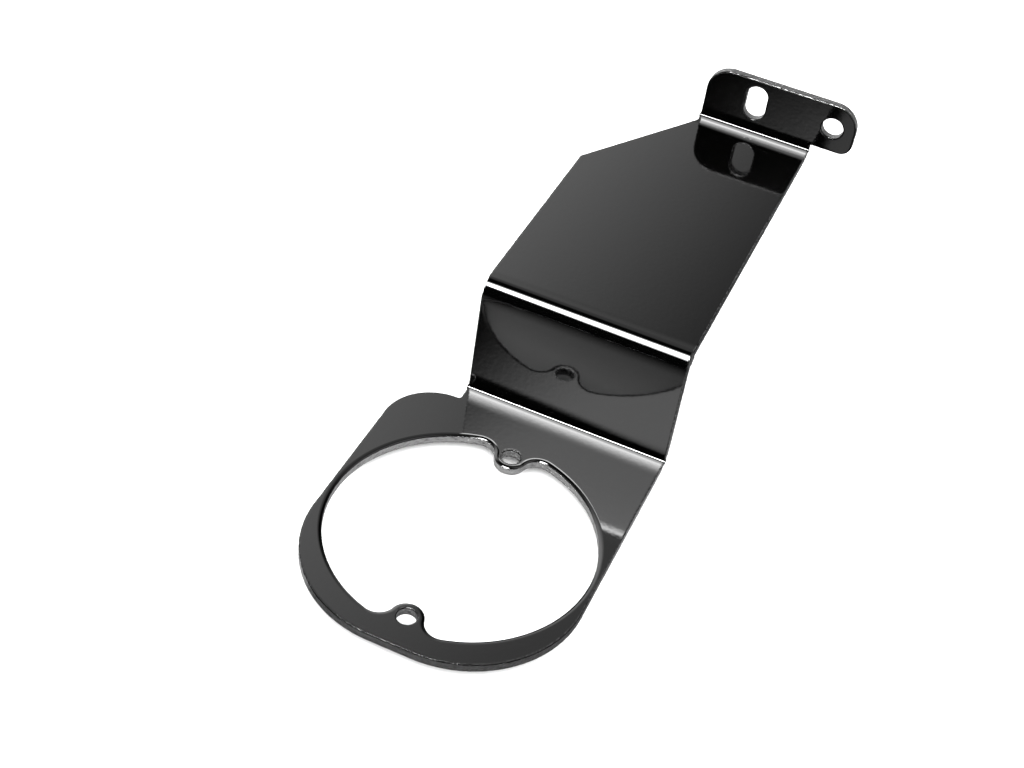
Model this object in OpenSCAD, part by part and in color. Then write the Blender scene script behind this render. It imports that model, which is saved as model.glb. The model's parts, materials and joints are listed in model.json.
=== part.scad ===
// Indicator lamp bracket, folded from one sheet: a lamp ring with two screw ears,
// a riser, a main plate with one cut corner and an upright fixing flange.
// The origin is the centre of the lamp opening, on the upper face of the ring plate.
// +X runs along the folds, +Y from the ring to the flange, +Z up.

/* [Sheet] */
// Thickness of the sheet
sheet_t = 3; // [1.5:0.1:4]
// Inner radius of the three folds
fold_r = 2; // [0.5:0.1:4]

/* [Lamp ring] */
// Diameter of the lamp opening
lamp_d = 76; // [68:0.5:90]
// Width of the ring plate beside the opening, at its narrowest
side_w = 2; // [1:0.1:15]
// Width of the ring plate between the opening and the straight near edge
front_w = 6.2; // [3:0.1:25]
// Radius of the two near corners of the ring
front_r = 34; // [10:0.5:35]
// Width of the ring plate between the opening and the far edge of the shoulder
shoulder_w = 11.2; // [6:0.1:20]
// Radius of the corner of the shoulder
shoulder_r = 16; // [4:0.5:16]

/* [Screw ears] */
// Pitch circle of the two lamp screws
ear_pitch_d = 68; // [60:0.5:70]
// Outer radius of an ear
ear_r = 4.75; // [4:0.05:6]
// Radius where an ear runs out into the edge of the opening
ear_root_r = 5; // [3:0.1:7]
// Diameter of the lamp screw holes
ear_hole_d = 5.5; // [3.2:0.1:6.5]

/* [Riser] */
// Distance from the far edge of the shoulder to the near face of the riser
riser_gap = 5.5; // [4.5:0.1:20]
// Width of the riser and of the main plate
riser_w = 63; // [55:0.5:64]
// Height of the main plate above the ring plate, between their upper faces
riser_h = 40; // [15:0.5:80]

/* [Main plate] */
// Length from the near face of the riser to the near face of the flange
plate_l = 119; // [90:0.5:180]
// Length of the straight left edge, from the near face of the riser to the cut corner
plate_edge_l = 75.5; // [20:0.5:85]

/* [Flange] */
// Length of the flange along the folds
flange_l = 50.5; // [45:0.5:60]
// Length of its right end, which overhangs the main plate
overhang_l = 13; // [8:0.1:20]
// Height of the upper edge above the main plate
flange_h = 19.4; // [18:0.1:30]
// Height of the lower edge of the overhanging end above the main plate
overhang_h = 2.5; // [2:0.1:5]
// Radius of the two upper corners
flange_corner_r = 8; // [2:0.1:8]
// Radius of the lower corner of the overhanging end
overhang_corner_r = 4; // [1:0.1:6]

/* [Flange holes] */
// Diameter of the round hole, and width of the slot
flange_hole_d = 7; // [4:0.1:8]
// Length of the slot from end to end
slot_l = 12; // [9:0.1:14]
// Height of the round hole and of the middle of the slot above the main plate
hole_h = 11; // [9:0.1:12]
// Distance from the right end of the flange to the round hole
hole_from_end = 7.6; // [6:0.1:12]
// Distance between the round hole and the slot
hole_pitch = 26; // [20:0.1:28]

/* [Hidden] */
$fn = 128;
paint = "#17181a";
// Outer radius of a fold
fold_outer_r = fold_r + sheet_t;
// Right edge, one straight line from the ring to the flange
right = lamp_d / 2 + side_w;
left = right - riser_w;
flange_right = right + overhang_l;
flange_left = flange_right - flange_l;
// Far edge of the shoulder and near face of the riser
shoulder_y = lamp_d / 2 + shoulder_w;
riser_y = shoulder_y + riser_gap;
// Near face of the flange
flange_y = riser_y + plate_l;
// Where the flat plates end and the folds begin
ring_end = riser_y - fold_r;
plate_start = riser_y + fold_outer_r;
plate_end = flange_y - fold_r;
// How far a cutting tool runs past the face of the sheet
past = 1;
// Lamp screws lie on the line through the lamp centre that runs along Y
ear_y = ear_pitch_d / 2;
// Arcs that run into each other cross by this much, because exact contact leaves no edge
bite = 0.01;
// Centre of the root arc, which meets the ear and the edge of the opening
root_reach = lamp_d / 2 - ear_root_r + bite;
root_y = (root_reach ^ 2 - (ear_r + ear_root_r - bite) ^ 2 + ear_y ^ 2) / (2 * ear_y);
root_x = sqrt(root_reach ^ 2 - root_y ^ 2);

// Points of one corner of a plate: the corner itself, or both ends of its arc
function corner(p, r, before, after) = r > 0 ? [p + r * before, p + r * after] : [p];

// Flat plate from corner a to corner b, with the radii r anticlockwise from a
module rounded_plate(a, b, r) {
  polygon([
    each corner(a, r[0], [0, 1], [1, 0]),
    each corner([b.x, a.y], r[1], [-1, 0], [0, 1]),
    each corner(b, r[2], [0, -1], [-1, 0]),
    each corner([a.x, b.y], r[3], [1, 0], [0, -1])
  ]);
  centres = [
    a + [r[0], r[0]], [b.x - r[1], a.y + r[1]],
    b - [r[2], r[2]], [a.x + r[3], b.y - r[3]]
  ];
  for (i = [0:3]) if (r[i] > 0) translate(centres[i]) circle(r[i]);
}

// Ear on the far side of the opening, with the arcs that run out into its edge
module ear() {
  root = [root_x, root_y];
  outside = root * (lamp_d / 2 + past) / root_y;
  translate([0, ear_y]) circle(ear_r);
  difference() {
    polygon([[0, ear_y], root, outside, [-outside.x, outside.y], [-root_x, root_y]]);
    for (side = [-1, 1]) translate([side * root_x, root_y]) circle(ear_root_r);
  }
}

module lamp_opening() {
  difference() {
    circle(d = lamp_d);
    for (turn = [0, 180]) rotate(turn) ear();
  }
}

module ring_plate() {
  translate([0, 0, -sheet_t]) difference() {
    linear_extrude(sheet_t) {
      rounded_plate([-right, -lamp_d / 2 - front_w], [right, shoulder_y],
                    [front_r, front_r, 0, shoulder_r]);
      translate([left, 0]) square([riser_w, ring_end]);
    }
    translate([0, 0, -past]) {
      linear_extrude(sheet_t + 2 * past) lamp_opening();
      for (side = [-1, 1]) translate([0, side * ear_y])
        cylinder(d = ear_hole_d, h = sheet_t + 2 * past);
    }
  }
}

// Quarter fold with its axis at [y, z]: it starts at the angle start about that axis
module fold(y, z, left_end, start) {
  translate([left_end, y, z]) rotate([90, 0, 90]) rotate(start)
    rotate_extrude(angle = 90) translate([fold_r, 0]) square([sheet_t, right - left_end]);
}

module riser() {
  translate([left, riser_y, fold_r])
    cube([riser_w, sheet_t, riser_h - fold_r - fold_outer_r]);
}

module main_plate() {
  translate([0, 0, riser_h - sheet_t]) linear_extrude(sheet_t) polygon([
    [left, plate_start], [right, plate_start], [right, plate_end],
    [flange_left, plate_end], [left, riser_y + plate_edge_l]
  ]);
}

// Upright flange: the round hole and the slot run through it along Y
module flange() {
  hole_x = flange_right - hole_from_end;
  slot_x = hole_x - hole_pitch;
  slot_half = (slot_l - flange_hole_d) / 2;
  translate([0, flange_y + sheet_t, riser_h]) rotate([90, 0, 0]) difference() {
    linear_extrude(sheet_t) {
      rounded_plate([flange_left, overhang_h], [flange_right, flange_h],
                    [0, overhang_corner_r, flange_corner_r, flange_corner_r]);
      translate([flange_left, fold_r]) square([right - flange_left, hole_h - fold_r]);
    }
    translate([0, 0, -past]) {
      translate([hole_x, hole_h]) cylinder(d = flange_hole_d, h = sheet_t + 2 * past);
      for (end = [-1, 1]) translate([slot_x, hole_h + end * slot_half])
        cylinder(d = flange_hole_d, h = sheet_t + 2 * past);
      translate([slot_x - flange_hole_d / 2, hole_h - slot_half])
        cube([flange_hole_d, 2 * slot_half, sheet_t + 2 * past]);
    }
  }
}

module bracket() {
  color(paint) union() {
    ring_plate();
    fold(ring_end, fold_r, left, -90);
    riser();
    fold(plate_start, riser_h - fold_outer_r, left, 90);
    main_plate();
    fold(plate_end, riser_h + fold_r, flange_left, -90);
    flange();
  }
}

bracket();
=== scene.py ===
# The visual model of the indicator lamp bracket: a flat blank with rounded, painted edges
# is meshed, then folded along the sheet's middle line, and gets its powder coat and stage.
import json
import math

import bpy
import numpy as np
from bpy.props import FloatProperty, FloatVectorProperty, PointerProperty
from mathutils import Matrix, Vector
from mathutils.geometry import delaunay_2d_cdt


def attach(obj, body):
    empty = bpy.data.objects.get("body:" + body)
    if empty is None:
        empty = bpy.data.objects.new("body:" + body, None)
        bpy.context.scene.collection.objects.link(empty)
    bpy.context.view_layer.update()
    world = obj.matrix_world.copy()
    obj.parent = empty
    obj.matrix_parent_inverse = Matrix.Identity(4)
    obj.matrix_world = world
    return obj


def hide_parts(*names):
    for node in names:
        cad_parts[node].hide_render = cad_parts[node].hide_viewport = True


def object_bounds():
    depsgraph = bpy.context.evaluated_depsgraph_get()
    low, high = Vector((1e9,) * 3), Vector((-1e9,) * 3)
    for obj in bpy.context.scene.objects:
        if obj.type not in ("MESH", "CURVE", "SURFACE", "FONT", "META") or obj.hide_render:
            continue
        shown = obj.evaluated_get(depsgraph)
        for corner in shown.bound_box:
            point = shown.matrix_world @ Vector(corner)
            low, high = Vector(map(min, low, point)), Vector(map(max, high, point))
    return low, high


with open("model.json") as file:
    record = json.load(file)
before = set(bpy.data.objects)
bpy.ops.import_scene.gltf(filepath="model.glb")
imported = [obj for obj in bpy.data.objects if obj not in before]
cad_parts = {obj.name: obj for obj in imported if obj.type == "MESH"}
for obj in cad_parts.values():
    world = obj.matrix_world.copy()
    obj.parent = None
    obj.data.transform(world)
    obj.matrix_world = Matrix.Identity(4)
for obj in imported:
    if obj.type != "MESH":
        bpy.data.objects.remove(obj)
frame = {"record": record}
CAD_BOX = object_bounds()

bl_info = {
    "name": "Indicator Lamp Bracket",
    "version": (1, 0, 0),
    "blender": (4, 5, 0),
    "location": "View3D > Sidebar > Bracket",
    "description": "Builds a folded, powder coated bracket for a round indicator lamp",
    "category": "Object",
}

# The CAD node that the piece stands for, and the body it rides on
NODE = "bracket"
BODY = "root"
MM = 0.001
# Inner radius of the folds of the solids
BEND_RADIUS = 2 * MM
# The flat faces of the sheet begin this far past a rounded edge
SUPPORT = 0.06 * MM
# How much painted sheen lies on the cut side of the outline, the opening, its two screw holes, the round hole
# and the slot. The sheen is a grey painted for the light that a rough cut side catches.
CUT_SIDE_SHEEN = (0.25, 1.0, 1.0, 1.0, 0.4, 0.4)
# Turns at which a rounded edge has a row of points, in degrees, and the places of rows down a cut side
EDGE_TURNS = (0, 12, 25, 38, 50, 61, 71, 80, 90)
SIDE_ROWS = (0.3, 0.6)
# How late on a rounding the roughness of the cut starts: at once on the outline and the small holes,
# and only at the end of the edge that is rolled over round the opening
CUT_STARTS = 1
ROLL_CUT_STARTS = 8
# Fewest steps of an arc, and how close two points of an outline are when they are one
ARC_STEPS = 6
SAME_POINT = 1e-7
# How close points are when the mesher joins them, in mm
MESH_JOIN = 1e-5
# Columns of points across a fold: their distances from its ends, where the middle ones start on the left
# and end on the right, and the gap between those, in mm
END_COLUMNS = (0.25, 0.6, 1.0, 1.5, 2.1, 2.9, 4.0, 5.5, 7.5, 10.0)
MIDDLE_START, MIDDLE_END, MIDDLE_GAP = 15, 13, 5
MOUNTS = {m["name"]: m for m in frame["record"]["mounts"]}


def srgb(code):
    """The channels 0..1 of an sRGB hex colour such as 0xF2F1EE"""
    return [(code >> shift & 255) / 255 for shift in (16, 8, 0)]


def linear(channels):
    """sRGB channels 0..1 as a linear colour with alpha"""
    return (*(c / 12.92 if c <= 0.04045 else ((c + 0.055) / 1.055) ** 2.4 for c in channels), 1.0)


def mount_size(name, key):
    """One dimension of a mount, in metres"""
    return MOUNTS[name]["dims"][key] * MM


def length(name, value, about):
    """A length that the user can change, in metres"""
    return FloatProperty(name=name, default=value, description=about, unit="LENGTH", precision=5)


def fold_lengths(name, values, about):
    """One length for each fold, from the ring to the flange, given in mm"""
    values = [value * MM for value in values]
    return FloatVectorProperty(name=name, default=values, description=about, unit="LENGTH", precision=5)


def fold_turns(name, values, about):
    """One angle for each fold, from the ring to the flange, given in degrees"""
    values = [math.radians(value) for value in values]
    return FloatVectorProperty(name=name, default=values, description=about, subtype="EULER")


class SheetSizes(bpy.types.PropertyGroup):
    """Sizes of the sheet and its three folds"""

    thickness: length("Thickness", mount_size("lamp_opening", "length_mm"), "Thickness of the sheet")
    fold_core: fold_lengths("Fold core", (2.95, 4.2, 2.35), "Length of the tightly curved middle")
    near_side: fold_lengths("Near side", (6.2, 3.2, 4.0), "Length of the slight curve before each core")
    far_side: fold_lengths("Far side", (2.2, 2.5, 3.2), "Length of the slight curve past each core")
    near_turn: fold_turns("Near turn", (7.2, 7.2, 13.4), "Turn of the slight curve before each core")
    far_turn: fold_turns("Far turn", (5.0, 5.2, 11.0), "Turn of the slight curve past each core")
    near_kink: FloatVectorProperty(
        name="Near kink", default=(0.0, 0.0, 0.62), min=0, max=1,
        description="Share of the near turn at its start, where the die's shoulder pressed on the sheet",
    )
    flange_lean: FloatProperty(
        name="Flange lean", default=math.radians(1.2), subtype="ANGLE",
        description="How far the flange is bent past a right angle, towards the main plate",
    )
    lean_shift: length("Lean shift", 0.15 * MM, "How far the leaning flange moves out, to keep its middle")
    end_bulge: length("End bulge", 0.45 * MM, "How far the pressed side of a fold bulges at its ends")
    bulge_reach: length("Bulge reach", 2.5 * MM, "Length along the fold in which the bulge dies away")
    edge_radius: length("Edge radius", 0.5 * MM, "Rounding of the painted cut edges")
    roll_width: length("Roll width", 1.3 * MM, "Width of the edge that the punch rolled over at the opening")
    roll_depth: length("Roll depth", 0.65 * MM, "Depth of the rolled edge round the opening")
    ripple: length("Edge ripple", 0.25 * MM, "Height of the ripples that the cut leaves under the paint")
    ripple_size: length("Ripple size", 1.4 * MM, "Distance between ripples along an edge")


class OutlineSizes(bpy.types.PropertyGroup):
    """Sizes of the outline that the frame doesn't state"""

    front_radius: length("Front corner radius", 34 * MM, "Radius of the two near corners of the ring")
    shoulder_radius: length("Shoulder radius", 16 * MM, "Radius of the corner of the shoulder")
    shoulder_y: length("Shoulder", 49.2 * MM, "From the lamp centre to the far edge of the shoulder")
    riser_left: length("Riser left", 23 * MM, "From the lamp centre to the left edge of the riser")
    riser_y: length("Riser", 54.7 * MM, "From the lamp centre to the near face of the riser")
    plate_z: length("Main plate", 40 * MM, "Height of the main plate above the ring plate")
    cut_y: length("Cut corner", 130.2 * MM, "From the lamp centre to the start of the cut corner")
    flange_left: length("Flange left", 2.5 * MM, "From the lamp centre to the left edge of the flange")
    overhang: length("Overhang", 2.5 * MM, "Height of the overhanging end above the main plate")
    overhang_radius: length("Overhang radius", 4 * MM, "Radius of the lower corner of the overhang")
    flange_radius: length("Flange radius", 8 * MM, "Radius of the two upper corners of the flange")
    corner_radius: length("Corner radius", 1.0 * MM, "Radius of the corners of the riser and main plate")
    inner_radius: length("Inner corner radius", 0.4 * MM, "Radius of the corner under the overhang")
    ear_radius: length("Ear radius", 4.75 * MM, "Outer radius of a screw ear")
    root_radius: length("Root radius", 5 * MM, "Radius where an ear runs out into the opening")
    spacing: length("Mesh spacing", 0.35 * MM, "Distance between mesh points along an outline")


class PaintLook(bpy.types.PropertyGroup):
    """Colour and gloss of the powder coat"""

    colour: FloatVectorProperty(
        name="Colour", subtype="COLOR_GAMMA", default=srgb(0x010101), min=0, max=1,
        description="Colour of the coat, as sRGB",
    )
    # Painted sheen: a grey painted on the cut sides, for the light that their rough faces catch
    sheen_colour: FloatVectorProperty(
        name="Cut side sheen", subtype="COLOR_GAMMA", default=srgb(0x5E5E5E), min=0, max=1,
        description="Grey painted on the cut sides for the light they catch, as sRGB",
    )
    streak_size: length("Streak size", 1.8 * MM, "Length of the streaks of the punch on cut sides")
    roughness: FloatProperty(name="Roughness", default=0.06, min=0, max=1, description="Blur of the gloss")
    peel_size: length("Orange peel size", 1.2 * MM, "Distance between the soft waves of the coat")
    peel_height: length("Orange peel height", 0.0045 * MM, "Height of the soft waves of the coat")
    cut_roughness: FloatProperty(
        name="Cut edge roughness", default=0.5, min=0, max=1, description="Blur of the gloss on the cut edges"
    )
    grain_size: length("Edge grain size", 0.8 * MM, "Distance between the grains of the cut edges")
    grain_height: length("Edge grain height", 0.26 * MM, "Height of the grains of the cut edges")


class StageLook(bpy.types.PropertyGroup):
    """Floor, light and camera"""

    floor_gap: length("Floor gap", 2 * MM, "Height of the ring plate's lower face above the floor")
    floor_size: length("Floor size", 6.0, "Side of the floor")
    room_light: FloatProperty(name="Room light", default=3.2, description="Brightness of the even light")
    camera_at: FloatVectorProperty(
        name="Camera place", default=(0.103349, -0.306641, 0.341417), description="Where the camera stands",
        subtype="TRANSLATION", unit="LENGTH", precision=5,
    )
    camera_turn: FloatVectorProperty(
        name="Camera turn", subtype="EULER",
        default=(math.radians(48.222), math.radians(-6.874), math.radians(23.465)),
        description="How the camera is turned",
    )
    camera_lens: FloatProperty(
        name="Focal length", default=60.351, subtype="DISTANCE_CAMERA", description="Focal length in mm",
    )


# Where a scene keeps each group of settings
GROUPS = {
    "bracket_sheet": SheetSizes,
    "bracket_outline": OutlineSizes,
    "bracket_paint": PaintLook,
    "bracket_stage": StageLook,
}


def add(tree, kind, inputs=(), **settings):
    """A new node with its inputs and settings. An input that is a socket is linked."""
    node = tree.nodes.new(kind)
    for key, value in settings.items():
        setattr(node, key, value)
    for key, value in inputs.items() if isinstance(inputs, dict) else enumerate(inputs):
        if isinstance(value, bpy.types.NodeSocket):
            tree.links.new(value, node.inputs[key])
        else:
            node.inputs[key].default_value = value
    return node


# The sheet's middle line


class Fold:
    """A fold of the middle line: a tight core between two slightly curved sides, the near one first"""

    # Half the length of the soft steps at the ends of the core and of the sides
    CORE_FADE = 0.35 * MM
    SIDE_FADE = 0.6 * MM
    # Half the length of a kink
    KINK = 0.25 * MM
    # Rows of points from the middle of the core to its end, and their distance past it
    CORE_ROWS = 14
    ROW_GAP = 0.3 * MM
    # Steps in which a fold is walked through to find its reaches
    WALK = 600

    def __init__(self, sheet, number, turn):
        sign = math.copysign(1, turn)
        self.at = 0.0
        self.core = sheet.fold_core[number] / 2
        self.sides = (
            (sheet.near_side[number], sign * sheet.near_turn[number], sheet.near_kink[number]),
            (sheet.far_side[number], sign * sheet.far_turn[number], 0.0),
        )
        self.half = self.core + max(side[0] for side in self.sides) + self.SIDE_FADE
        # Each side's slight curve runs on to the middle of the core, and the core adds the turn that is left
        left = turn
        for span, side_turn, kink in self.sides:
            left -= side_turn * (kink + (1 - kink) * (self.core + span) / span)
        self.core_bend = left / (2 * self.core)
        self.before, self.after = self.reaches()

    @staticmethod
    def plateau(away, half, fade):
        """1 up to a distance, and 0 past it, with a soft step of width 2 fade between"""
        past = min(max((away - half + fade) / (2 * fade), 0.0), 1.0)
        return 1 - past * past * (3 - 2 * past)

    def bend(self, offset):
        """Curvature at a distance past the middle of the fold"""
        away = abs(offset)
        span, turn, kink = self.sides[int(offset > 0)]
        wide = turn * (1 - kink) / span * self.plateau(away, self.core + span, self.SIDE_FADE)
        from_kink = abs(away - self.core - span)
        press = turn * kink / (2 * self.KINK) * self.plateau(from_kink, self.KINK, self.KINK)
        return wide + press + self.core_bend * self.plateau(away, self.core, self.CORE_FADE)

    def rows(self):
        """Stations at which the mesh needs rows of points"""
        tight = np.linspace(0, self.core + 2 * self.CORE_FADE, self.CORE_ROWS)
        side = np.concatenate((tight, np.arange(tight[-1] + self.ROW_GAP, self.half, self.ROW_GAP)))
        return self.at + np.concatenate((-side[:0:-1], side))

    def reaches(self):
        """From the start of the fold to where its two flats would meet, and from there to its end"""
        ds = 2 * self.half / self.WALK
        y = z = angle = 0.0
        for i in range(self.WALK):
            bend = self.bend((i + 0.5) * ds - self.half) * ds
            y += math.cos(angle + bend / 2) * ds
            z += math.sin(angle + bend / 2) * ds
            angle += bend
        return y - z / math.tan(angle), z / math.sin(angle)


class MiddleLine:
    """The middle of the sheet, seen along the folds, and where its folds lie on the flat blank"""

    # Distance between the points of the line
    STEP = 0.1 * MM

    def __init__(self, sheet, outline):
        self.level = -sheet.thickness / 2
        self.riser = outline.riser_y - self.level
        self.flange_base = outline.plate_z + self.level
        flange = CAD_BOX[1][1] + self.level + sheet.lean_shift
        right_angle = math.pi / 2
        turns = (right_angle, -right_angle, right_angle + sheet.flange_lean)
        self.folds = [Fold(sheet, number, turn) for number, turn in enumerate(turns)]
        end = 0.0
        for fold, span in zip(self.folds, (self.riser, outline.plate_z, flange - self.riser)):
            fold.at = end + span - fold.before + fold.half
            end = fold.at + fold.half - fold.after

    def curvature(self, station):
        """Signed curvature of the middle line, positive where the upper face is hollow"""
        return sum(fold.bend(station - fold.at) for fold in self.folds)

    def points(self, start, end):
        """Points of the folded middle line, as (y, z)"""
        steps = math.ceil((end - start) / self.STEP)
        ds = (end - start) / steps
        points = [(start, self.level)]
        angle = 0.0
        for i in range(steps):
            bend = self.curvature(start + (i + 0.5) * ds) * ds
            y, z = points[-1]
            points.append((y + math.cos(angle + bend / 2) * ds, z + math.sin(angle + bend / 2) * ds))
            angle += bend
        return points

    def on_plate(self, y):
        """Station on the blank of a place on the main plate"""
        fold = self.folds[1]
        return fold.at + fold.half - fold.after + y - self.riser

    def on_flange(self, z):
        """Station on the blank of a height on the flange"""
        fold = self.folds[2]
        return fold.at + fold.half - fold.after + z - self.flange_base


# Outlines of the flat blank, with the sheet always on their left


def arc(centre, radius, start, end, spacing):
    """Points of an arc between two angles"""
    steps = max(ARC_STEPS, math.ceil(abs(end - start) * radius / spacing))
    angles = [start + (end - start) * i / steps for i in range(steps + 1)]
    return [Vector((centre[0] + radius * math.cos(a), centre[1] + radius * math.sin(a))) for a in angles]


def rounded(corners, spacing):
    """Outline through corners (x, y, radius), each of them rounded"""
    points = []
    for i, (x, y, radius) in enumerate(corners):
        here = Vector((x, y))
        back = (Vector(corners[i - 1][:2]) - here).normalized()
        ahead = (Vector(corners[(i + 1) % len(corners)][:2]) - here).normalized()
        half = back.angle(ahead) / 2
        centre = here + (back + ahead).normalized() * radius / math.sin(half)
        start = here + back * radius / math.tan(half) - centre
        end = here + ahead * radius / math.tan(half) - centre
        turn = math.atan2(start.x * end.y - start.y * end.x, start.dot(end))
        first = math.atan2(start.y, start.x)
        points += arc(centre, radius, first, first + turn, spacing)
    return points


def evened(points, spacing):
    """The same closed outline with its long straight stretches divided"""
    result = []
    for here, after in zip(points, points[1:] + points[:1]):
        gap = (after - here).length
        if gap < SAME_POINT:
            continue
        count = max(1, round(gap / spacing))
        result += [here.lerp(after, i / count) for i in range(count)]
    return result


def round_hole(x, y, radius, spacing):
    """A round hole, clockwise"""
    return arc((x, y), radius, 2 * math.pi, 0, spacing)[:-1]


def slot_hole(x, y, radius, half, spacing):
    """An upright slot with round ends, clockwise"""
    lower = arc((x, y - half), radius, 0, -math.pi, spacing)
    upper = arc((x, y + half), radius, math.pi, 0, spacing)
    return lower + upper


def lamp_hole(outline):
    """The lamp opening with its two ears, clockwise"""
    opening = mount_size("lamp_opening", "r_mm")
    ear_y = mount_size("lamp_screws", "pcd_mm") / 2
    away = opening - outline.root_radius
    apart = outline.ear_radius + outline.root_radius
    root_y = (away**2 - apart**2 + ear_y**2) / (2 * ear_y)
    root_x = math.sqrt(away**2 - root_y**2)
    rise = math.atan2(root_y, root_x)
    lean = math.atan2(root_y - ear_y, root_x)
    half = arc((0, 0), opening, -rise, rise, outline.spacing)
    half += arc((root_x, root_y), outline.root_radius, rise, math.pi + lean, outline.spacing)[1:]
    half += arc((0, ear_y), outline.ear_radius, lean, -math.pi - lean, outline.spacing)[1:]
    half += arc((-root_x, root_y), outline.root_radius, -lean, math.pi - rise, outline.spacing)[1:-1]
    return [*half, *[-p for p in half]][::-1]


def blank_outlines(sheet, outline, line):
    """The outer outline and the holes of the flat blank"""
    low, high = CAD_BOX
    right = -low[0]
    left = -outline.riser_left
    plate_end = line.on_plate(high[1] - sheet.thickness - BEND_RADIUS)
    flange_foot = line.on_flange(outline.plate_z + outline.overhang)
    flange_top = line.on_flange(high[2])
    outer = rounded(
        [
            (right, low[1], outline.front_radius),
            (right, flange_foot, outline.inner_radius),
            (high[0], flange_foot, outline.overhang_radius),
            (high[0], flange_top, outline.flange_radius),
            (outline.flange_left, flange_top, outline.flange_radius),
            (outline.flange_left, plate_end, outline.corner_radius),
            (left, line.on_plate(outline.cut_y), outline.corner_radius),
            (left, outline.shoulder_y, outline.corner_radius),
            (low[0], outline.shoulder_y, outline.shoulder_radius),
            (low[0], low[1], outline.front_radius),
        ],
        outline.spacing,
    )
    ear_y = mount_size("lamp_screws", "pcd_mm") / 2
    ear_hole = mount_size("lamp_screws", "hole_r_mm")
    hole = MOUNTS["flange_hole"]["pos_m"]
    slot = MOUNTS["flange_slot"]["pos_m"]
    slot_radius = mount_size("flange_slot", "hole_r_mm")
    slot_half = mount_size("flange_slot", "slot_length_mm") / 2 - slot_radius
    holes = [
        lamp_hole(outline),
        round_hole(0, ear_y, ear_hole, outline.spacing),
        round_hole(0, -ear_y, ear_hole, outline.spacing),
        round_hole(hole[0], line.on_flange(hole[2]), mount_size("flange_hole", "r_mm"), outline.spacing),
        slot_hole(slot[0], line.on_flange(slot[2]), slot_radius, slot_half, outline.spacing),
    ]
    return [np.array(evened(loop, outline.spacing)) for loop in (outer, *holes)]


def inset(loop, amount):
    """A closed outline moved into the sheet, which lies on its left"""
    ahead = np.roll(loop, -1, axis=0) - loop
    ahead /= np.linalg.norm(ahead, axis=1, keepdims=True)
    along = ahead + np.roll(ahead, 1, axis=0)
    along /= np.linalg.norm(along, axis=1, keepdims=True)
    return loop + amount * np.column_stack((-along[:, 1], along[:, 0]))


def encloses(loop, points):
    """Which points lie inside a closed outline"""
    inside = np.zeros(len(points), bool)
    for (ax, ay), (bx, by) in zip(loop, np.roll(loop, -1, axis=0)):
        crosses = (ay > points[:, 1]) != (by > points[:, 1])
        if crosses.any():
            level = (points[:, 1] - ay) / (by - ay)
            inside ^= crosses & (points[:, 0] < ax + level * (bx - ax))
    return inside


def crossings(loop, level):
    """Where a closed outline crosses a level, from left to right"""
    after = np.roll(loop, -1, axis=0)
    hit = (loop[:, 1] > level) != (after[:, 1] > level)
    part = (level - loop[hit, 1]) / (after[hit, 1] - loop[hit, 1])
    return np.sort(loop[hit, 0] + part * (after[hit, 0] - loop[hit, 0]))


def fold_rows(borders, line):
    """Rows of points across the folds, closer together near the ends of a fold"""
    rows = []
    near = np.array(END_COLUMNS) * MM
    for fold in line.folds:
        for station in fold.rows():
            if any(len(crossings(hole, station)) for hole in borders[1:]):
                continue
            left, right = crossings(borders[0], station)[[0, -1]]
            middle = np.arange(left + MIDDLE_START * MM, right - MIDDLE_END * MM, MIDDLE_GAP * MM)
            xs = np.concatenate((left + near, middle, right - near[::-1]))
            rows.append(np.column_stack((xs, np.full(len(xs), station))))
    return rows


def face_triangles(borders, rows):
    """The flat face of the blank inside its borders, cut in triangles"""
    points = np.concatenate([*borders, *rows])
    edges = []
    start = 0
    for group in (*borders, *rows):
        count = len(group)
        closed = start < sum(map(len, borders))
        edges += [(start + i, start + (i + 1) % count) for i in range(count if closed else count - 1)]
        start += count
    scaled = [Vector(p) / MM for p in points]
    made, _, faces, origins, _, _ = delaunay_2d_cdt(scaled, edges, [], 0, MESH_JOIN)
    if len(made) != len(points):
        raise RuntimeError(f"the face gained points: {len(points)} became {len(made)}")
    number = [origin[0] for origin in origins]
    faces = np.array([[number[i] for i in face] for face in faces])
    middles = points[faces].mean(axis=1)
    keep = encloses(borders[0], middles)
    for hole in borders[1:]:
        keep &= ~encloses(hole, middles)
    faces = faces[keep]
    a, b, c = (points[faces[:, i]] for i in range(3))
    clockwise = np.cross(b - a, c - a) < 0
    faces[clockwise] = faces[clockwise][:, ::-1]
    return points, faces


def edge_profile(sheet, width, depth, power):
    """Steps over a cut edge, from the upper face to the lower one, as (inset, height, cut). The power
    says how late on the rounding the roughness of the cut starts."""
    half = sheet.thickness / 2
    turns = [math.radians(turn) for turn in EDGE_TURNS]
    upper = []
    for turn in turns:
        cut = (turn / turns[-1]) ** power
        upper.append((width * (1 - math.sin(turn)), half - depth * (1 - math.cos(turn)), cut))
    small = sheet.edge_radius
    lower = []
    for turn in turns[::2]:
        lower.append((small * (1 - math.sin(turn)), small * (1 - math.cos(turn)) - half, turn / turns[-1]))
    side = 2 * half - depth - small
    walls = [(0.0, half - depth - share * side, 1.0) for share in SIDE_ROWS]
    first = (width + SUPPORT, half, 0.0)
    last = (width + SUPPORT, -half, 0.0)
    return [first, *upper, *walls, *lower[::-1], last]


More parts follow.
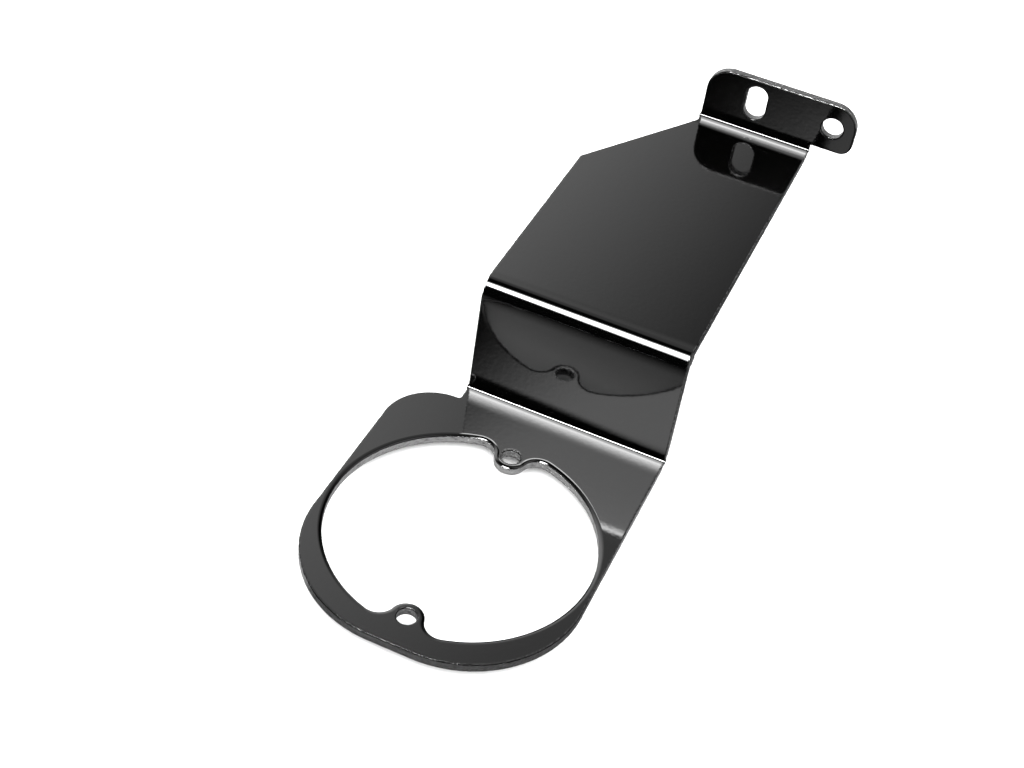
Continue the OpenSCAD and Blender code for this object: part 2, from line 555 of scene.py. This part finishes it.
def blank_mesh(sheet, outline, line):
    """The flat blank with rounded edges. Its attribute cut is 1 on the cut sides and 0 on the faces, and a
    second attribute says how much painted sheen lies there: a grey painted for the light that the rough cut
    sides catch."""
    loops = blank_outlines(sheet, outline, line)
    profiles = [edge_profile(sheet, sheet.edge_radius, sheet.edge_radius, CUT_STARTS) for _ in loops]
    profiles[1] = edge_profile(sheet, sheet.roll_width, sheet.roll_depth, ROLL_CUT_STARTS)
    borders = [inset(loop, steps[0][0]) for loop, steps in zip(loops, profiles)]
    rows = fold_rows(borders, line)
    flat, triangles = face_triangles(borders, rows)
    inner = len(flat)
    half = sheet.thickness / 2
    vertices = [np.column_stack((flat, np.full(inner, half))), np.column_stack((flat, np.full(inner, -half)))]
    cuts = [np.zeros(2 * inner)]
    sheen_shares = [np.zeros(2 * inner)]
    faces = [*triangles.tolist(), *(triangles[:, ::-1] + inner).tolist()]
    total = 2 * inner
    start = 0
    # Each cut side gets its share of painted sheen, a grey for the light that it catches
    for loop, steps, sheen_share in zip(loops, profiles, CUT_SIDE_SHEEN):
        count = len(loop)
        rings = [np.arange(start, start + count)]
        for amount, height, cut in steps[1:-1]:
            vertices.append(np.column_stack((inset(loop, amount), np.full(count, height))))
            cuts.append(np.full(count, cut))
            sheen_shares.append(np.full(count, sheen_share * (cut == 1)))
            rings.append(np.arange(total, total + count))
            total += count
        rings.append(np.arange(start, start + count) + inner)
        for upper, lower in zip(rings, rings[1:]):
            quads = np.column_stack((upper, lower, np.roll(lower, -1), np.roll(upper, -1)))
            faces += quads.tolist()
        start += count
    vertices = np.concatenate(vertices)
    bulge_ends(vertices, sheet, outline, line)
    mesh = bpy.data.meshes.new("bracket_blank")
    mesh.from_pydata(vertices.tolist(), [], faces)
    mesh.attributes.new("cut", "FLOAT", "POINT").data.foreach_set("value", np.concatenate(cuts))
    mesh.attributes.new("sheen_share", "FLOAT", "POINT").data.foreach_set("value", np.concatenate(sheen_shares))
    return mesh


def bulge_ends(vertices, sheet, outline, line):
    """Widens the pressed side of each fold at its ends, and narrows the stretched side"""
    full = line.curvature(line.folds[0].at)
    bend = np.array([line.curvature(s) for s in vertices[:, 1]]) / full
    side = vertices[:, 2] / (sheet.thickness / 2)
    left = np.where(vertices[:, 1] < line.on_plate(outline.cut_y), -outline.riser_left, outline.flange_left)
    from_left = np.maximum(vertices[:, 0] - left, 0)
    from_right = np.maximum(-CAD_BOX[0][0] - vertices[:, 0], 0)
    fade = np.exp(-from_right / sheet.bulge_reach) - np.exp(-from_left / sheet.bulge_reach)
    vertices[:, 0] += sheet.end_bulge * bend * side * fade


def folding_tree(material):
    """Geometry nodes that ripple the cut edges of a flat blank and fold it along a middle line"""
    tree = bpy.data.node_groups.new("fold_blank", "GeometryNodeTree")
    face = tree.interface
    face.new_socket("Geometry", in_out="INPUT", socket_type="NodeSocketGeometry")
    face.new_socket("Middle line", in_out="INPUT", socket_type="NodeSocketObject")
    for name in ("Start", "Ripple", "Ripple size"):
        face.new_socket(name, in_out="INPUT", socket_type="NodeSocketFloat")
    face.new_socket("Geometry", in_out="OUTPUT", socket_type="NodeSocketGeometry")
    given = add(tree, "NodeGroupInput").outputs
    place = add(tree, "GeometryNodeInputPosition").outputs[0]

    # Ripples push the cut sides in and out, and die away over the rounded edges
    cut = add(tree, "GeometryNodeInputNamedAttribute", {"Name": "cut"}, data_type="FLOAT").outputs[0]
    scale = add(tree, "ShaderNodeMath", [1.0, given["Ripple size"]], operation="DIVIDE").outputs[0]
    waves = add(tree, "ShaderNodeTexNoise", {"Vector": place, "Scale": scale, "Detail": 2.0}).outputs["Fac"]
    waves = add(tree, "ShaderNodeMath", [waves, 0.5], operation="SUBTRACT").outputs[0]
    height = add(tree, "ShaderNodeMath", [waves, given["Ripple"]], operation="MULTIPLY").outputs[0]
    height = add(tree, "ShaderNodeMath", [height, cut], operation="MULTIPLY").outputs[0]
    outwards = add(tree, "GeometryNodeInputNormal").outputs[0]
    push = add(tree, "ShaderNodeVectorMath", {0: outwards, "Scale": height}, operation="SCALE").outputs[0]
    rippled = add(tree, "GeometryNodeSetPosition", {"Geometry": given["Geometry"], "Offset": push}).outputs[0]

    # Each point goes to its station on the middle line, and as far off the line as it was off the blank
    middle = add(tree, "GeometryNodeObjectInfo", {"Object": given["Middle line"]}).outputs["Geometry"]
    flat = add(tree, "ShaderNodeSeparateXYZ", [place]).outputs
    station = add(tree, "ShaderNodeMath", [flat["Y"], given["Start"]], operation="SUBTRACT").outputs[0]
    on_line = add(
        tree, "GeometryNodeSampleCurve", {"Curves": middle, "Length": station}, mode="LENGTH"
    ).outputs
    along_fold = (1.0, 0.0, 0.0)
    across = add(tree, "ShaderNodeVectorMath", [along_fold, on_line["Tangent"]], operation="CROSS_PRODUCT")
    across = add(tree, "ShaderNodeVectorMath", {0: across.outputs[0], "Scale": flat["Z"]}, operation="SCALE")
    sideways = add(tree, "ShaderNodeCombineXYZ", {"X": flat["X"]}).outputs[0]
    folded = add(tree, "ShaderNodeVectorMath", [on_line["Position"], across.outputs[0]], operation="ADD")
    folded = add(tree, "ShaderNodeVectorMath", [folded.outputs[0], sideways], operation="ADD").outputs[0]
    moved = add(tree, "GeometryNodeSetPosition", {"Geometry": rippled, "Position": folded}).outputs[0]

    smooth = add(tree, "GeometryNodeSetShadeSmooth", {"Geometry": moved}).outputs[0]
    real = add(tree, "GeometryNodeRealizeInstances", {"Geometry": smooth}).outputs[0]
    painted = add(tree, "GeometryNodeSetMaterial", {"Geometry": real, "Material": material}).outputs[0]
    add(tree, "NodeGroupOutput", {"Geometry": painted})
    return tree


def powder_coat(look):
    """The black coat of the whole sheet, with a grey painted sheen on the cut sides. It reads the blank's
    attribute cut, and the one that holds the share of painted sheen.
    """
    # Gloss powder coat, sprayed and baked: deep black with sharp reflections, which the soft waves of the
    # coat bend a little. On the cut sides it is dull, and a grey is painted there as a painted sheen, for the
    # light that the rough cut sides catch.
    material = bpy.data.materials.new("gloss_black_powder_coat")
    material.use_nodes = True
    tree = material.node_tree
    tree.nodes.clear()
    place = add(tree, "ShaderNodeTexCoord").outputs["Object"]
    cut = add(tree, "ShaderNodeAttribute", attribute_type="GEOMETRY", attribute_name="cut").outputs["Fac"]
    sheen_share = add(tree, "ShaderNodeAttribute", attribute_type="GEOMETRY", attribute_name="sheen_share").outputs["Fac"]
    peel = add(
        tree, "ShaderNodeTexNoise",
        {"Vector": place, "Scale": 1 / look.peel_size, "Detail": 1.5, "Roughness": 0.45},
    ).outputs["Fac"]
    # The real grain of a cut edge is finer than 0.1 mm. It is drawn coarser, so that it shows.
    grain = add(
        tree, "ShaderNodeTexNoise",
        {"Vector": place, "Scale": 1 / look.grain_size, "Detail": 0.5, "Roughness": 0.5},
    ).outputs["Fac"]
    # The streaks of the cut, short along Z
    short = add(tree, "ShaderNodeMapping", {"Vector": place, "Scale": (1.0, 1.0, 4.0)}).outputs[0]
    streaks = add(
        tree, "ShaderNodeTexNoise",
        {"Vector": short, "Scale": 1 / look.streak_size, "Detail": 3.0, "Roughness": 0.6},
    ).outputs["Fac"]
    # The painted sheen, a grey for the light on the rough cut sides, broken up by the streaks of the cut
    sheen = add(tree, "ShaderNodeMapRange", {"Value": streaks, "From Min": 0.2, "From Max": 0.5333}).outputs[0]
    sheen = add(tree, "ShaderNodeMath", [sheen, sheen_share], operation="MULTIPLY").outputs[0]
    colour = add(
        tree, "ShaderNodeMix",
        {"Factor": sheen, 6: linear(look.colour), 7: linear(look.sheen_colour)},
        data_type="RGBA",
    ).outputs[2]
    # The gloss reaches over the rounded edge up to the cut side, and the grain starts early on it
    side = add(tree, "ShaderNodeMapRange", {"Value": cut, "From Min": 0.75, "From Max": 1.0}).outputs[0]
    roughness = add(
        tree, "ShaderNodeMix",
        {"Factor": side, "A": look.roughness, "B": look.cut_roughness},
        data_type="FLOAT",
    ).outputs[0]
    edge = add(tree, "ShaderNodeMapRange", {"Value": cut, "From Min": 0.1333, "From Max": 0.4667}).outputs[0]
    grain = add(tree, "ShaderNodeMath", [grain, edge], operation="MULTIPLY").outputs[0]
    grain = add(tree, "ShaderNodeMath", [grain, look.grain_height], operation="MULTIPLY").outputs[0]
    waves = add(tree, "ShaderNodeMath", [peel, look.peel_height], operation="MULTIPLY").outputs[0]
    height = add(tree, "ShaderNodeMath", [waves, grain], operation="ADD").outputs[0]
    skin = add(tree, "ShaderNodeBump", {"Height": height, "Distance": 1.0, "Strength": 1.0}).outputs[0]
    shader = add(
        tree, "ShaderNodeBsdfPrincipled",
        {"Base Color": colour, "Roughness": roughness, "IOR": 1.5, "Normal": skin},
    ).outputs[0]
    add(tree, "ShaderNodeOutputMaterial", {"Surface": shader})
    return material


# The stage


# Soft-edged patches of the floor as the gloss mirrors it, with painted shade: a painted shadow under the arm,
# and pale patches beside the arm and the ring that the painted shade leaves out. An edge is (axis, where it
# starts, where the patch is full), in mm. The axis slant runs along Y, and by this share of X against it.
SLANT = -0.15
PAINTED_SHADOW_UNDER_ARM = (("slant", 45, 65), ("Y", 300, 260))
PALE_BESIDE_ARM = (("X", 34, 40), ("X", 47, 43), ("Y", 120, 105))
PALE_BESIDE_RING = (("X", -29, -34), ("X", -41, -38), ("Y", -18, -24), ("Y", -40, -36))
# Painted shade on the mirrored floor: where it starts and ends to grow paler towards the riser, in mm, and
# how pale it gets
FRONT_FADE = (-45, 24)
FRONT_PALE = 0.52
# The softbox that the gloss mirrors: its light at each angle across the folds, as (angle, light)
SOFTBOX = (
    (31.6, 0), (34, 17), (41, 34), (45, 37), (48, 58),
    (56, 250), (60, 105), (65, 70), (71, 16), (77, 0),
)
# The middle, the half width and the softness of the softbox along the folds, in degrees
SOFTBOX_ALONG = (-8, 14, 5)
# The softbox ends where its angle across the folds, plus this much of the one along them, gets small
SOFTBOX_SLOPE = 1.7
SOFTBOX_END = (16.5, 25.0)
# Round lights that the gloss mirrors, as (light, turn from +Y to +X, height above the horizon, radius
# where it starts to fade, radius where it is gone), in degrees
ROUND_LIGHTS = (
    (3.0, -50, 15, 22, 48),
    (0.7, -6, 60, 12, 22),
    (1.2, 80, 35, 10, 45),
    (0.8, -120, 30, 5, 30),
    (0.35, -30, 44, 2, 12),
    (1.6, 138, 16, 8, 32),
    (0.8, 163, 18, 3, 15),
    (0.9, 90, 70, 5, 20),
    (1.5, 5, 5, 12, 24),
)


def floor_patch(tree, spot, edges):
    """1 inside a soft-edged patch of the floor and 0 outside it"""
    mask = 1.0
    for axis, start, full in edges:
        edge = add(
            tree, "ShaderNodeMapRange",
            {"Value": spot[axis], "From Min": start * MM, "From Max": full * MM},
            interpolation_type="SMOOTHSTEP",
        ).outputs[0]
        mask = add(tree, "ShaderNodeMath", [edge, mask], operation="MULTIPLY").outputs[0]
    return mask


def painted_shade_share(tree):
    """How much painted shade, as a dark floor, the gloss mirrors at each place: a painted shadow under the
    arm and in front, less near the riser, and none in the pale patches, whose image shows in the paint"""
    axis = add(tree, "ShaderNodeSeparateXYZ", [add(tree, "ShaderNodeTexCoord").outputs["Object"]]).outputs
    slant = add(tree, "ShaderNodeMath", [axis["X"], SLANT, axis["Y"]], operation="MULTIPLY_ADD").outputs[0]
    spot = {"X": axis["X"], "Y": axis["Y"], "slant": slant}
    start, end = FRONT_FADE
    near = add(
        tree, "ShaderNodeMapRange", {"Value": slant, "From Min": start * MM, "From Max": end * MM}
    ).outputs[0]
    near = add(tree, "ShaderNodeMath", [near, 2.0], operation="POWER").outputs[0]
    near = add(tree, "ShaderNodeMath", [near, FRONT_PALE], operation="MULTIPLY").outputs[0]
    dark = add(tree, "ShaderNodeMath", [1.0, near], operation="SUBTRACT").outputs[0]
    beside_arm = floor_patch(tree, spot, PALE_BESIDE_ARM)
    beside_arm = add(tree, "ShaderNodeMath", [1.0, beside_arm], operation="SUBTRACT").outputs[0]
    under_arm = floor_patch(tree, spot, PAINTED_SHADOW_UNDER_ARM)
    under_arm = add(tree, "ShaderNodeMath", [under_arm, beside_arm], operation="MULTIPLY").outputs[0]
    dark = add(tree, "ShaderNodeMath", [dark, under_arm], operation="MAXIMUM").outputs[0]
    beside_ring = floor_patch(tree, spot, PALE_BESIDE_RING)
    beside_ring = add(tree, "ShaderNodeMath", [1.0, beside_ring], operation="SUBTRACT").outputs[0]
    return add(tree, "ShaderNodeMath", [dark, beside_ring], operation="MULTIPLY").outputs[0]


def make_floor(context, stage):
    """A plain pale floor just under the ring plate"""
    half = stage.floor_size / 2
    level = CAD_BOX[0][2] - stage.floor_gap
    mesh = bpy.data.meshes.new("floor")
    corners = [(x * half, y * half, level) for x, y in ((-1, -1), (1, -1), (1, 1), (-1, 1))]
    mesh.from_pydata(corners, [], [(0, 1, 2, 3)])
    floor = bpy.data.objects.new("floor", mesh)
    context.scene.collection.objects.link(floor)
    # Matt white paper: even and without a reflection. Only the gloss of the bracket mirrors it darker, with
    # painted shade: a painted shadow under the arm, and shade that grows the further the floor lies in front
    # of the riser.
    material = bpy.data.materials.new("matt_white_paper")
    material.use_nodes = True
    tree = material.node_tree
    tree.nodes.clear()
    pale = add(tree, "ShaderNodeBsdfDiffuse", {"Color": linear(srgb(0xF4F4F4))}).outputs[0]
    # Painted shade: a near-black floor that only the gloss of the bracket mirrors
    dark = add(tree, "ShaderNodeBsdfDiffuse", {"Color": linear(srgb(0x050505))}).outputs[0]
    mirrored = add(tree, "ShaderNodeLightPath").outputs["Is Glossy Ray"]
    share = add(tree, "ShaderNodeMath", [painted_shade_share(tree), mirrored], operation="MULTIPLY").outputs[0]
    mixed = add(tree, "ShaderNodeMixShader", [share, pale, dark]).outputs[0]
    add(tree, "ShaderNodeOutputMaterial", {"Surface": mixed})
    mesh.materials.append(material)


def softbox_light(tree, axis):
    """The light of the softbox in each direction"""
    # Angle across the folds: 0 at the near horizon, 90 overhead, 180 at the far horizon
    back = add(tree, "ShaderNodeMath", [axis["Y"], -1.0], operation="MULTIPLY").outputs[0]
    over = add(tree, "ShaderNodeMath", [axis["Z"], back], operation="ARCTAN2").outputs[0]
    over = add(tree, "ShaderNodeMath", [over], operation="DEGREES").outputs[0]
    along = add(tree, "ShaderNodeMath", [axis["X"]], operation="ARCSINE").outputs[0]
    along = add(tree, "ShaderNodeMath", [along], operation="DEGREES").outputs[0]
    share = add(tree, "ShaderNodeMath", [over, 180.0], operation="DIVIDE").outputs[0]
    ramp = add(tree, "ShaderNodeValToRGB", [share])
    stops = ramp.color_ramp.elements
    while len(stops) < len(SOFTBOX):
        stops.new(0.5)
    brightest = max(light for _, light in SOFTBOX)
    for stop, (angle, light) in zip(stops, SOFTBOX):
        stop.position = angle / 180
        stop.color = (*[light / brightest] * 3, 1.0)
    middle, half, soft = SOFTBOX_ALONG
    away = add(tree, "ShaderNodeMath", [along, middle], operation="SUBTRACT").outputs[0]
    away = add(tree, "ShaderNodeMath", [away], operation="ABSOLUTE").outputs[0]
    width = add(
        tree, "ShaderNodeMapRange",
        {"Value": away, "From Min": half - soft, "From Max": half + soft, "To Min": brightest, "To Max": 0.0},
        interpolation_type="SMOOTHSTEP",
    ).outputs[0]
    slope = add(tree, "ShaderNodeMath", [along, SOFTBOX_SLOPE, over], operation="MULTIPLY_ADD").outputs[0]
    corner = add(
        tree, "ShaderNodeMapRange",
        {"Value": slope, "From Min": SOFTBOX_END[0], "From Max": SOFTBOX_END[1]},
        interpolation_type="SMOOTHSTEP",
    ).outputs[0]
    light = add(tree, "ShaderNodeMath", [ramp.outputs[0], width], operation="MULTIPLY").outputs[0]
    return add(tree, "ShaderNodeMath", [light, corner], operation="MULTIPLY").outputs[0]


def make_light(context, stage):
    """Even room light, and the softbox and round lights that the gloss mirrors"""
    world = bpy.data.worlds.new("studio")
    context.scene.world = world
    world.use_nodes = True
    tree = world.node_tree
    tree.nodes.clear()
    towards = add(tree, "ShaderNodeTexCoord").outputs["Generated"]
    total = softbox_light(tree, add(tree, "ShaderNodeSeparateXYZ", [towards]).outputs)
    for light, turn, height, inner, outer in ROUND_LIGHTS:
        turn, height = math.radians(turn), math.radians(height)
        level = math.cos(height)
        centre = (math.sin(turn) * level, math.cos(turn) * level, math.sin(height))
        near = add(tree, "ShaderNodeVectorMath", [towards, centre], operation="DOT_PRODUCT").outputs["Value"]
        angle = add(tree, "ShaderNodeMath", [near], operation="ARCCOSINE").outputs[0]
        angle = add(tree, "ShaderNodeMath", [angle], operation="DEGREES").outputs[0]
        cap = add(
            tree, "ShaderNodeMapRange",
            {"Value": angle, "From Min": inner, "From Max": outer, "To Min": light, "To Max": 0.0},
            interpolation_type="SMOOTHSTEP",
        ).outputs[0]
        total = add(tree, "ShaderNodeMath", [total, cap], operation="ADD").outputs[0]
    mirrored = add(tree, "ShaderNodeLightPath").outputs["Is Glossy Ray"]
    strength = add(
        tree, "ShaderNodeMix", {"Factor": mirrored, "A": stage.room_light, "B": total}, data_type="FLOAT"
    ).outputs[0]
    shader = add(tree, "ShaderNodeBackground", {"Color": (1, 1, 1, 1), "Strength": strength}).outputs[0]
    add(tree, "ShaderNodeOutputWorld", {"Surface": shader})


def make_camera(context, stage):
    """The camera, above the near end of the bracket and a little to the right, with plain colours"""
    data = bpy.data.cameras.new("camera")
    data.lens = stage.camera_lens
    # The focal length is for a sensor 36 mm wide
    data.sensor_width = 36
    data.clip_start = 10 * MM
    camera = bpy.data.objects.new("camera", data)
    camera.location = stage.camera_at
    camera.rotation_euler = stage.camera_turn
    context.scene.collection.objects.link(camera)
    context.scene.camera = camera
    context.scene.view_settings.view_transform = "Standard"


# The operators and the panel


class MakeBracket(bpy.types.Operator):
    """Build the folded and painted bracket"""

    bl_idname = "bracket.make_bracket"
    bl_label = "Bracket"

    def execute(self, context):
        sheet, outline = context.scene.bracket_sheet, context.scene.bracket_outline
        line = MiddleLine(sheet, outline)
        blank = bpy.data.objects.new("bracket_blank", blank_mesh(sheet, outline, line))
        start = CAD_BOX[0][1] - MM
        end = line.on_flange(CAD_BOX[1][2]) + MM
        curve = bpy.data.curves.new("middle_line", "CURVE")
        curve.dimensions = "3D"
        spline = curve.splines.new("POLY")
        points = line.points(start, end)
        spline.points.add(len(points) - 1)
        for point, (y, z) in zip(spline.points, points):
            point.co = (0.0, y, z, 1.0)
        middle = bpy.data.objects.new("middle_line", curve)
        for made in (blank, middle):
            context.scene.collection.objects.link(made)
        tree = folding_tree(powder_coat(context.scene.bracket_paint))
        fold = blank.modifiers.new("fold", "NODES")
        fold.node_group = tree
        values = {
            "Middle line": middle,
            "Start": start,
            "Ripple": sheet.ripple,
            "Ripple size": sheet.ripple_size,
        }
        inputs = [item for item in tree.interface.items_tree if item.in_out == "INPUT"]
        sockets = {item.name: item.identifier for item in inputs}
        for name, value in values.items():
            fold[sockets[name]] = value
        context.view_layer.update()
        folded = blank.evaluated_get(context.evaluated_depsgraph_get())
        mesh = bpy.data.meshes.new_from_object(folded)
        mesh.name = "folded_bracket"
        piece = bpy.data.objects.new("folded_bracket", mesh)
        context.scene.collection.objects.link(piece)
        for spent in (blank, middle):
            bpy.data.objects.remove(spent)
        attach(piece, BODY)
        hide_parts(NODE)
        return {"FINISHED"}


class MakeStage(bpy.types.Operator):
    """Build the floor, the light and the camera"""

    bl_idname = "bracket.make_stage"
    bl_label = "Stage"

    def execute(self, context):
        stage = context.scene.bracket_stage
        make_floor(context, stage)
        make_light(context, stage)
        make_camera(context, stage)
        return {"FINISHED"}


class BracketPanel(bpy.types.Panel):
    """Buttons for the pieces and the stage"""

    bl_idname = "VIEW3D_PT_bracket"
    bl_label = "Indicator lamp bracket"
    bl_space_type = "VIEW_3D"
    bl_region_type = "UI"
    bl_category = "Bracket"

    def draw(self, context):
        for holder in GROUPS:
            group = getattr(context.scene, holder)
            box = self.layout.box()
            for name in group.bl_rna.properties.keys():
                if name not in ("rna_type", "name"):
                    box.prop(group, name)
        for operator in (MakeBracket, MakeStage):
            self.layout.operator(operator.bl_idname)


CLASSES = (*GROUPS.values(), MakeBracket, MakeStage, BracketPanel)


def register():
    """Register the classes, and give each scene their settings"""
    for cls in CLASSES:
        bpy.utils.register_class(cls)
    for holder, group in GROUPS.items():
        setattr(bpy.types.Scene, holder, PointerProperty(type=group))


def unregister():
    """Take the settings and the classes away again"""
    for holder in GROUPS:
        delattr(bpy.types.Scene, holder)
    for cls in reversed(CLASSES):
        bpy.utils.unregister_class(cls)


def main():
    """Build the bracket and its stage"""
    register()
    bpy.ops.bracket.make_bracket()
    bpy.ops.bracket.make_stage()


if __name__ == "__main__":
    main()
